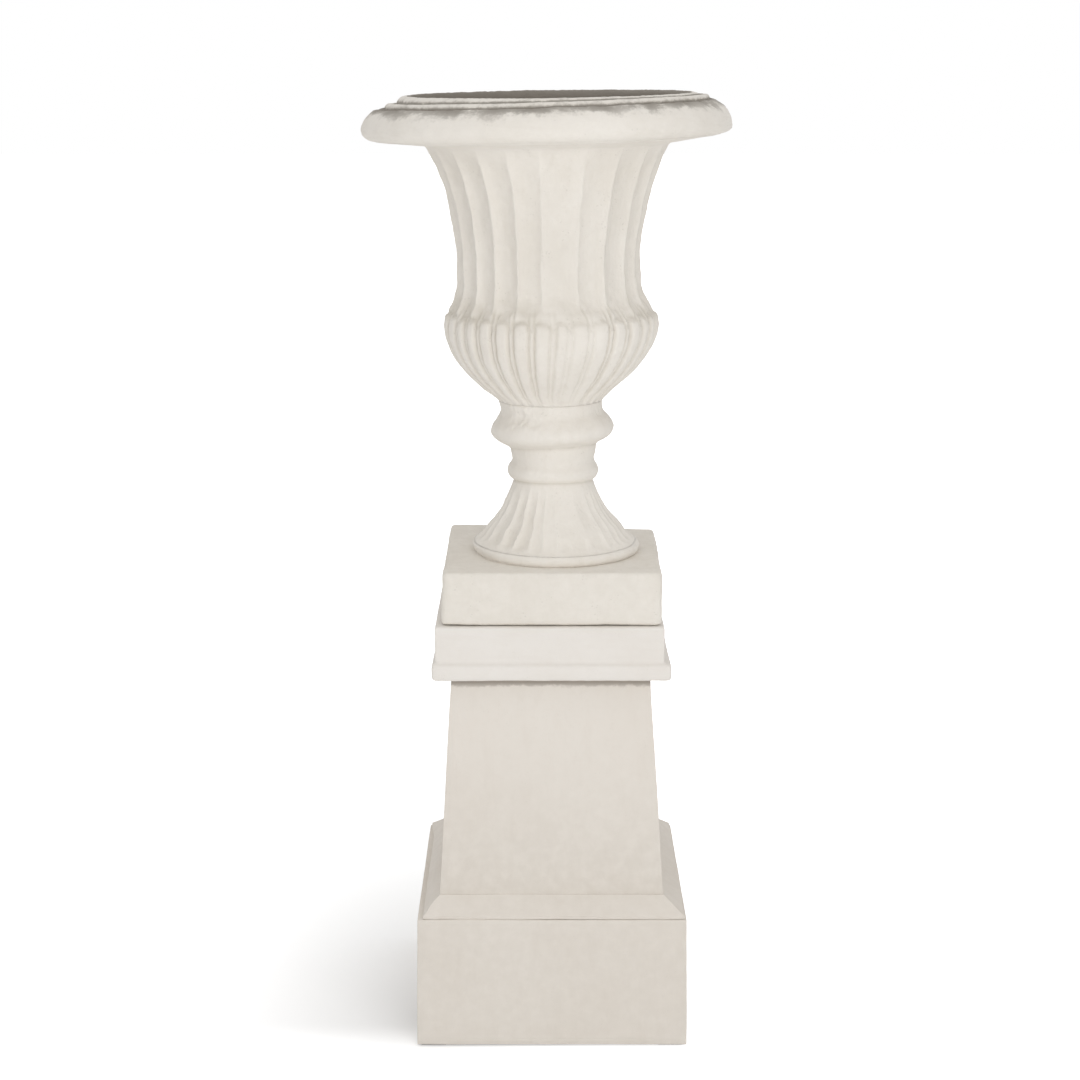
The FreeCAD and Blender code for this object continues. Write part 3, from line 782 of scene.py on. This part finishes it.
def footFluteDepth(co, angle, z):
    # the cut, and how near a point lies to a flute's middle
    f = footFlutes
    wobble = sum(degrees * rough(co, size, seed) for degrees, size, seed in f["wander"])
    u, number, _ = between(angle + wobble, f["ridges"])
    strength = perLine(f["ridges"], f["faint"])[number]
    strength = strength + np.maximum(f["scallop"] - strength, 0) * fall(z, *f["scallopTop"])
    reach = rise(z, f["bottom"] + f["bottomArch"] * u ** 2, f["bottomRun"]) * fall(z, f["top"], f["topRun"])
    hollow = (1 - np.abs(u) ** f["section"]) * reach
    return f["depth"] * strength * alongHeight(z, f["narrowing"]) * hollow, 1 - np.abs(u)


def makeStem():
    s = stem
    piece = turnedPiece("urn_stem_cast", stemOutline(), s["steps"])
    piece.data.materials.append(urnFinish)
    co = places(piece)
    radius, angle = polar(co)
    z = co[:, 2].copy()
    skin = s["flare"] + s["smallRing"] + s["knop"]
    outside = (radius > radiusAt(z, skin) - s["skinGap"]) & (radius > s["socketRadius"] + 0.002)
    outside = outside & (z > s["bottom"] + 0.0005)
    cut, middle = footFluteDepth(co, angle, z)
    worn = s["buried"] * hump(angle, *s["buriedAngle"]) * fall(z, *s["buriedTop"])
    cutInward(co, radius, np.where(outside, cut + worn, 0.0))
    putPlaces(piece, co)

    out = outward(piece)
    loose = s["loose"] * rise(z, *s["looseFrom"]) * hump(angle, *s["looseAngle"])
    move = handed(co, out, 0.85) + out * (loose * grainy(co, s["looseSize"], 3, 6.0))[:, None]
    facing = np.clip(-co[:, 1] / np.maximum(radius, 0.01), 0, 1)
    for height, width, lift in s["frontRises"]:
        move[:, 2] += lift * facing * hump(z, height, width)
    co += np.where((outside & (z < s["top"] - 0.0005))[:, None], move, 0.0)

    # painted shade in the creases, on a line at the foot ring seen from the front, and in the flutes'
    # hollows, with some dust
    ringShadeLine = hump(z, s["ringShadeLine"], s["ringShadeWidth"]) * ease(facing * 2 - 0.9)
    creases = sum(hump(z, height, s["creaseWidth"]) for height in s["creases"]) + 0.4 * ringShadeLine
    keepMask(piece, "hollow", np.where(outside, 0.8 * creases + 70 * cut * middle, 0.4))
    keepMask(piece, "patinaAndShade", np.zeros(len(z)))
    putPlaces(piece, askew(co))
    smoothShade(piece, 180)
    settle(piece, "urn_socle", "urn")


makeStem()


# square castings

def addBlock(name, half, bottom, top):
    deselectAll()
    bpy.ops.mesh.primitive_cube_add(size=1, location=(0, 0, (bottom + top) / 2),
                                    scale=(2 * half, 2 * half, top - bottom))
    piece = bpy.context.object
    piece.name = name
    bpy.ops.object.transform_apply(location=True, rotation=True, scale=True)
    return piece


def pickFaces(piece, test):
    # edit mode, with only the faces selected whose centre and normal pass the test
    makeActive(piece)
    editMode("FACE")
    objectMode()
    for face in piece.data.polygons:
        face.select = test(face.center, face.normal)
    bpy.ops.object.mode_set(mode="EDIT")


def roundEdges(piece, test, width, segments):
    # bevels the edges whose two ends pass the test
    makeActive(piece)
    editMode("EDGE")
    objectMode()
    for edge in piece.data.edges:
        edge.select = test(*(piece.data.vertices[i].co for i in edge.vertices))
    bpy.ops.object.mode_set(mode="EDIT")
    bpy.ops.mesh.bevel(offset=width, segments=segments)
    objectMode()


def isTop(centre, normal):
    return normal.z > 0.9


def isBottom(centre, normal):
    return normal.z < -0.9


def isMiddle(centre, normal):
    return abs(normal.z) > 0.9 and abs(centre.x) < 0.01 and abs(centre.y) < 0.01


def taperFace(piece, test, factor):
    pickFaces(piece, test)
    bpy.ops.transform.resize(value=(factor, factor, 1))
    objectMode()


def insetFace(piece, test, thickness):
    pickFaces(piece, test)
    bpy.ops.mesh.inset(thickness=thickness, use_even_offset=True)
    objectMode()


def pushFace(piece, test, distance):
    pickFaces(piece, test)
    bpy.ops.mesh.extrude_region_move(TRANSFORM_OT_translate={"value": (0, 0, distance)})
    objectMode()


def openMiddle(piece, lowest=-1.0):
    pickFaces(piece, lambda c, n: c.z > lowest and isMiddle(c, n))
    bpy.ops.mesh.bridge_edge_loops()
    objectMode()


def cutRound(piece, radiusBottom, radiusTop, bottom, top):
    deselectAll()
    bpy.ops.mesh.primitive_cone_add(vertices=96, radius1=radiusBottom, radius2=radiusTop, depth=top - bottom,
                                    location=(0, 0, (bottom + top) / 2))
    cutter = bpy.context.object
    bpy.ops.object.transform_apply(location=True, rotation=True, scale=True)
    applyModifier(piece, "BOOLEAN", operation="DIFFERENCE", object=cutter, solver="EXACT")
    bpy.data.objects.remove(cutter)


def divide(piece, cuts):
    makeActive(piece)
    editMode("VERT")
    bpy.ops.mesh.select_all(action="SELECT")
    bpy.ops.mesh.subdivide(number_cuts=cuts)
    objectMode()


def softEdges(piece, width, segments=3, sharp=30):
    applyModifier(piece, "BEVEL", width=width, segments=segments, limit_method="ANGLE",
                  angle_limit=math.radians(sharp))


wear = {
    "grainSize": 0.012, "cornerGain": 1.6, "worn": 0.5,
    "gaps": [(0.8, 0.022, 9), (0.5, 0.008, 2)],      # share, size and seed
}


def weather(piece, lump, lumpSize, grain, seed, edge):
    # uneven faces, and edges that wander where the mould was filled
    co, out = places(piece), outward(piece)
    move = lump * rough(co, lumpSize, seed) + grain * rough(co, wear["grainSize"], seed + 5)
    facing = np.max(np.abs(out), axis=1)
    corner = 1.0 - np.clip((facing - 1.0) * wear["cornerGain"] + 1.0, 0, 1)
    worn = wear["worn"] + sum(share * rough(co, size, seed + more) for share, size, more in wear["gaps"])
    putPlaces(piece, co + out * (move - corner * edge * worn)[:, None])


def finishStone(piece, material, body, node, hollow=0.0, angle=50, patinaAndShade=0.0):
    even = np.ones(len(piece.data.vertices))
    keepMask(piece, "hollow", even * hollow)
    keepMask(piece, "patinaAndShade", even * patinaAndShade)
    smoothShade(piece, angle)
    piece.data.materials.append(material)
    settle(piece, node, body)


plinth = {
    "half": 0.1583, "bottom": 0.6378, "top": 0.7153, "corner": 0.009, "edge": 0.0042, "voxel": 0.0026,
    "cavityRadius": 0.130, "deckZ": 0.690, "coreRadius": 0.100, "coreTopRadius": 0.082,
    "wear": (0.0009, 0.055, 0.00035, 3.0, 0.0010), "dust": 0.3, "upper": (0.700, 0.012),
    "sag": 0.0040, "sagRight": (0.02, 0.13), "sagBack": (-0.06, 0.20),      # the back right corner sinks
    "fill": 0.0034, "fillLeft": (0.03, 0.10), "fillBack": (-0.05, 0.18),      # the back left corner is full
    "swell": 0.0035, "swellRight": (0.10, 0.05), "swellBack": (-0.10, 0.16),
    "spread": 0.0024, "spreadLeft": (0.10, 0.05), "spreadTop": (0.655, 0.045),      # the foot spreads left
    "bed": 0.0007, "bedSize": 0.10, "bedSeed": 12.0, "bedTop": (0.642, 0.03),
}


def makePlinth():
    p = plinth
    piece = addBlock("urn_plinth_cast", p["half"], p["bottom"], p["top"])
    roundEdges(piece, lambda a, b: abs(a.z - b.z) > 0.01, p["corner"], 4)
    cutRound(piece, p["cavityRadius"], p["cavityRadius"], p["bottom"] - 0.01, p["deckZ"])
    cutRound(piece, p["coreRadius"], p["coreTopRadius"], p["deckZ"] - 0.001, p["top"] + 0.001)
    softEdges(piece, p["edge"], 3, 60)
    applyModifier(piece, "REMESH", mode="VOXEL", voxel_size=p["voxel"])
    co = places(piece)
    x, y, z = co.T      # each step sees what the one before it has moved
    upper = rise(z, *p["upper"])
    z -= upper * p["sag"] * rise(x, *p["sagRight"]) * rise(y, *p["sagBack"])
    z += upper * p["fill"] * rise(-x, *p["fillLeft"]) * rise(y, *p["fillBack"])
    x += upper * p["swell"] * rise(x, *p["swellRight"]) * rise(y, *p["swellBack"])
    x -= p["spread"] * (1 - rise(z, *p["spreadTop"])) * rise(-x, *p["spreadLeft"])
    z += p["bed"] * (1 - rise(z, *p["bedTop"])) * rough(np.c_[x, y, 0 * z], p["bedSize"], p["bedSeed"])
    putPlaces(piece, co)
    weather(piece, *p["wear"])
    finishStone(piece, urnFinish, "urn", "urn_socle", p["dust"], 180)


makePlinth()

pedestal = {
    "wall": 0.020, "well": 0.126,
    "blockBottom": 0.003, "blockTop": 0.200, "blockFoot": 0.2005, "blockHead": 0.198,
    "mouldingHalf": 0.1955, "mouldingEdge": 0.0045, "mouldingTop": 0.227,
    "shaftFoot": 0.165, "shaftHead": 0.143, "shaftTop": 0.561,
    "lipHalf": 0.1735, "lipTop": 0.5825, "capHalf": 0.164, "capTop": 0.6365,
}
blockLook = {"innerWall": 0.022, "cuts": 22, "edge": 0.004, "wear": (0.0008, 0.12, 0.0002, 31.0, 0.0007),
             "dust": 0.32}


def makeBaseBlock():
    p, b = pedestal, blockLook
    deck = p["blockTop"] - p["wall"]
    piece = addBlock("base_block_cast", p["blockFoot"], p["blockBottom"], p["blockTop"])
    taperFace(piece, isTop, p["blockHead"] / p["blockFoot"])
    insetFace(piece, isBottom, b["innerWall"])
    pushFace(piece, lambda c, n: n.z < -0.9 and isMiddle(c, n), deck - p["blockBottom"])
    inner = p["blockFoot"] - b["innerWall"]
    insetFace(piece, lambda c, n: n.z < 0 and c.z > 0.1 and isMiddle(c, n), inner - p["well"])
    insetFace(piece, isTop, p["blockHead"] - p["well"])
    openMiddle(piece, 0.1)
    divide(piece, b["cuts"])
    softEdges(piece, b["edge"])
    weather(piece, *b["wear"])
    finishStone(piece, pedestalFinish, "pedestal", "base_block", b["dust"])


mouldingLook = {
    "gap": 0.0004, "topMore": 0.001, "cuts": 22, "edge": 0.0022,
    "wear": (0.0006, 0.09, 0.0002, 41.0, 0.0005), "dust": 0.25,
    "foot": (0.200, 0.006), "lift": 0.0003, "wave": 0.0007, "waveSize": 0.045, "waveSeed": 6.0,
    # the left edge is worn back, more towards the front
    "chip": 0.0055, "chipLeft": (0.165, 0.02), "chipTop": (0.204, 0.018), "chipBack": (0.195, 0.07),
}


def makeMoulding():
    p, w = pedestal, mouldingLook
    edgeTop = p["blockTop"] + p["mouldingEdge"]
    topHalf = p["shaftFoot"] + w["topMore"]
    piece = addBlock("base_moulding_cast", p["mouldingHalf"], p["blockTop"] + w["gap"], edgeTop)
    pushFace(piece, isTop, p["mouldingTop"] - edgeTop)
    taperFace(piece, isTop, topHalf / p["mouldingHalf"])
    insetFace(piece, isTop, topHalf - p["well"])
    insetFace(piece, isBottom, p["mouldingHalf"] - p["well"])
    openMiddle(piece)
    divide(piece, w["cuts"])
    softEdges(piece, w["edge"])
    co = places(piece)
    x, y, z = co.T.copy()
    wave = w["wave"] * rough(np.c_[x, y, 0 * z], w["waveSize"], w["waveSeed"])
    co[:, 2] += (1 - rise(z, *w["foot"])) * (w["lift"] + wave)
    chipped = rise(-x, *w["chipLeft"]) * (1 - rise(z, *w["chipTop"])) * fall(y, *w["chipBack"])
    co[:, 0] += w["chip"] * chipped
    putPlaces(piece, co)
    weather(piece, *w["wear"])
    finishStone(piece, pedestalFinish, "pedestal", "base_moulding", w["dust"])


shaftLook = {
    "lap": 0.0005, "cuts": 26, "edge": 0.003, "wear": (0.0009, 0.14, 0.00022, 51.0, 0.0006),
    # the left face leans outwards
    "leanFoot": 0.0014, "leanMore": 0.0022, "leanRun": 0.33, "leanLeft": (0.10, 0.02),
    "dust": 0.5, "lowShadeRun": 0.26, "lipShadowBelow": 0.0160, "lipShadowRun": 0.002,      # painted shade darker towards the bottom, and a painted shadow below the cap's lip
}


def makeShaft():
    p, w = pedestal, shaftLook
    bottom, top = p["mouldingTop"] - w["lap"], p["shaftTop"] + w["lap"]
    piece = addBlock("pedestal_shaft_cast", p["shaftFoot"], bottom, top)
    taperFace(piece, isTop, p["shaftHead"] / p["shaftFoot"])
    insetFace(piece, lambda c, n: abs(n.z) > 0.9, p["wall"])
    openMiddle(piece)
    divide(piece, w["cuts"])
    softEdges(piece, w["edge"])
    co = places(piece)
    lean = w["leanFoot"] + w["leanMore"] * rise(co[:, 2], p["mouldingTop"], w["leanRun"])
    co[:, 0] -= lean * rise(-co[:, 0], *w["leanLeft"])
    putPlaces(piece, co)
    weather(piece, *w["wear"])
    z = places(piece)[:, 2]
    # painted shade: darker towards the bottom, where the light falls off, and a painted shadow under the
    # cap's lip
    dustAndShade = w["dust"] * (1 - rise(z, p["mouldingTop"], w["lowShadeRun"]))
    lipShadow = rise(z, p["shaftTop"] - w["lipShadowBelow"], w["lipShadowRun"])
    finishStone(piece, pedestalFinish, "pedestal", "pedestal_shaft", dustAndShade, patinaAndShade=lipShadow)


capLook = {
    "gap": 0.0006, "hollow": 0.120, "drainRadius": 0.028, "lipRound": 0.0055, "voxel": 0.0026,
    "wear": (0.0008, 0.09, 0.0003, 61.0, 0.0005),
    "hang": 0.0038, "hangFrom": (0.147, 0.006), "hangTop": (0.573, 0.008),      # the lip hangs lower
    "left": 0.001, "blockLeft": 0.0027, "blockFrom": (0.13, 0.02), "blockWider": 0.008,
    "higher": (-0.004, 0.008),      # measured from the top of the lip
}


def makeCap():
    p, w = pedestal, capLook
    piece = addBlock("pedestal_cap_cast", p["lipHalf"], p["shaftTop"] + w["gap"], p["lipTop"])
    insetFace(piece, isTop, p["lipHalf"] - p["capHalf"] - w["gap"])
    pushFace(piece, lambda c, n: n.z > 0.9 and isMiddle(c, n), p["capTop"] - p["lipTop"])
    insetFace(piece, isBottom, p["lipHalf"] - w["hollow"])
    pushFace(piece, lambda c, n: n.z < -0.9 and isMiddle(c, n), p["capTop"] - p["wall"] - p["shaftTop"])
    lipEdge = p["lipHalf"] - 0.001
    roundEdges(piece, lambda a, b: min(max(abs(v.x), abs(v.y)) for v in (a, b)) > lipEdge, w["lipRound"], 4)
    cutRound(piece, w["drainRadius"], w["drainRadius"], p["capTop"] - 0.03, p["capTop"] + 0.01)
    applyModifier(piece, "REMESH", mode="VOXEL", voxel_size=w["voxel"])
    co = places(piece)
    reach = np.max(np.abs(co[:, :2]), axis=1)
    co[:, 2] -= w["hang"] * rise(reach, *w["hangFrom"]) * fall(co[:, 2], *w["hangTop"])
    higher = rise(co[:, 2] - p["lipTop"], *w["higher"])
    co[:, 0] -= w["left"] + w["blockLeft"] * higher * rise(np.abs(co[:, 0]), *w["blockFrom"])
    co[:, 0] *= 1 + w["blockWider"] * higher
    putPlaces(piece, co)
    weather(piece, *w["wear"])
    finishStone(piece, capFinish, "pedestal", "pedestal_cap", angle=180)


makeBaseBlock()
makeMoulding()
makeShaft()
makeCap()


# pads and fittings, which stay as they were drawn

def plainMaterial(name, colour, second, roughness, metallic, scale, bumpStrength):
    material, tree, shader = newMaterial(name, roughness, metallic)
    spot = tree.nodes.new("ShaderNodeTexCoord").outputs["Object"]
    mottle = noiseNode(tree, spot, scale, 5.0, 0.6)
    tone = mixColour(tree, rangeNode(tree, mottle, 0.35, 0.7), colour, second)
    polish = rangeNode(tree, mottle, 0.3, 0.7, roughness - 0.08, roughness + 0.1)
    wire(tree, (tone, shader.inputs["Base Color"]), (polish, shader.inputs["Roughness"]))
    bump = tree.nodes.new("ShaderNodeBump")
    bump.inputs["Strength"].default_value = bumpStrength
    bump.inputs["Distance"].default_value = 0.0004
    wire(tree, (noiseNode(tree, spot, scale * 4, 3.0), bump.inputs["Height"]),
         (bump.outputs["Normal"], shader.inputs["Normal"]))
    return material


fittings = {
    "rubber": (plainMaterial("padRubber", (0.05, 0.047, 0.043), (0.09, 0.085, 0.078), 0.8, 0, 260, 0.4),
               ["base_pads", "setting_pads", "bowl_seal"]),
    "steel": (plainMaterial("dullSteel", (0.52, 0.51, 0.49), (0.40, 0.38, 0.35), 0.42, 1, 180, 0.25),
              ["bowl_washer", "foot_washer", "base_dowels", "shaft_dowels", "cap_dowels"]),
    "brass": (plainMaterial("dullBrass", (0.60, 0.46, 0.22), (0.42, 0.31, 0.16), 0.4, 1, 150, 0.25),
              ["drain_tube", "bowl_lock_nut", "foot_lock_nut"]),
}


def dressFittings():
    for material, nodes in fittings.values():
        for node in nodes:
            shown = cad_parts[node]
            shown.data.materials.clear()
            shown.data.materials.append(material)
    print("fittings dressed")


dressFittings()


# floor and light
studio = {
    "floorSize": 60, "floorColour": (0.9, 0.9, 0.9, 1),
    "shadowShift": (0.2, 0.05, 0), "shadowScale": (1.0, 0.5, 1.0), "frontLine": (-0.24, -0.12, 0.32),
    "ambient": 0.39, "zenith": 2.43, "sky": (0.1, 0.9), "softboxAim": (0, 0, 0.95), "softboxSize": 2.2,
    "softboxes": [((1.2, -3.2, 1.35), 28), ((-1.8, -3.0, 1.35), 13)],
}


def seenDirectly(tree):
    path = tree.nodes.new("ShaderNodeLightPath").outputs
    mirrored = mathNode(tree, "ADD", path["Is Glossy Ray"], path["Is Transmission Ray"])
    return mathNode(tree, "MINIMUM", mathNode(tree, "ADD", path["Is Camera Ray"], mirrored), 1.0)


def makeFloor():
    deselectAll()
    bpy.ops.mesh.primitive_plane_add(size=studio["floorSize"], location=(0, 0, 0))
    floor = bpy.context.object
    floor.name = "floor"
    material, tree, shader = newMaterial("floorWhite", 0.9, 0.0, 0.0)
    seen = seenDirectly(tree)
    # the floor turns white away from the corner where the shadow is deepest
    away = tree.nodes.new("ShaderNodeMapping")
    away.inputs["Location"].default_value = studio["shadowShift"]
    away.inputs["Scale"].default_value = studio["shadowScale"]
    length = tree.nodes.new("ShaderNodeVectorMath")
    length.operation = "LENGTH"
    split = tree.nodes.new("ShaderNodeSeparateXYZ")
    spot = tree.nodes.new("ShaderNodeTexCoord").outputs["Object"]
    wire(tree, (spot, away.inputs["Vector"]), (away.outputs["Vector"], length.inputs[0]),
         (spot, split.inputs[0]))
    near, far, lift = studio["frontLine"]
    front = rangeNode(tree, split.outputs["Y"], near, far, lift, 0.0)
    fade = mathNode(tree, "MINIMUM", mathNode(tree, "ADD", length.outputs["Value"], front), 1.0)
    shader.inputs["Base Color"].default_value = studio["floorColour"]
    shader.inputs["Emission Color"].default_value = (1, 1, 1, 1)
    wire(tree, (mathNode(tree, "MULTIPLY", seen, fade), shader.inputs["Emission Strength"]))
    floor.data.materials.append(material)


def makeWorld():
    world = bpy.data.worlds.new("studio")
    bpy.context.scene.world = world
    world.use_nodes = True
    tree = world.node_tree
    background = tree.nodes["Background"]
    background.inputs["Color"].default_value = (1, 1, 1, 1)
    split = tree.nodes.new("ShaderNodeSeparateXYZ")
    wire(tree, (tree.nodes.new("ShaderNodeTexCoord").outputs["Generated"], split.inputs["Vector"]))
    low, high = studio["sky"]
    overhead = studio["ambient"] * studio["zenith"]
    ambient = rangeNode(tree, split.outputs["Z"], low, high, studio["ambient"], overhead)
    seen = seenDirectly(tree)
    hidden = mathNode(tree, "MULTIPLY", ambient, mathNode(tree, "SUBTRACT", 1.0, seen))
    wire(tree, (mathNode(tree, "ADD", seen, hidden), background.inputs["Strength"]))


def makeLamps():
    for place, power in studio["softboxes"]:
        aim = (Vector(studio["softboxAim"]) - Vector(place)).to_track_quat("-Z", "Y").to_euler()
        bpy.ops.object.light_add(type="AREA", location=place, rotation=aim)
        softbox = bpy.context.object.data
        softbox.energy = power
        softbox.size = studio["softboxSize"]


makeFloor()
makeWorld()
makeLamps()
bpy.context.scene.view_settings.view_transform = "Standard"
print("studio lit")
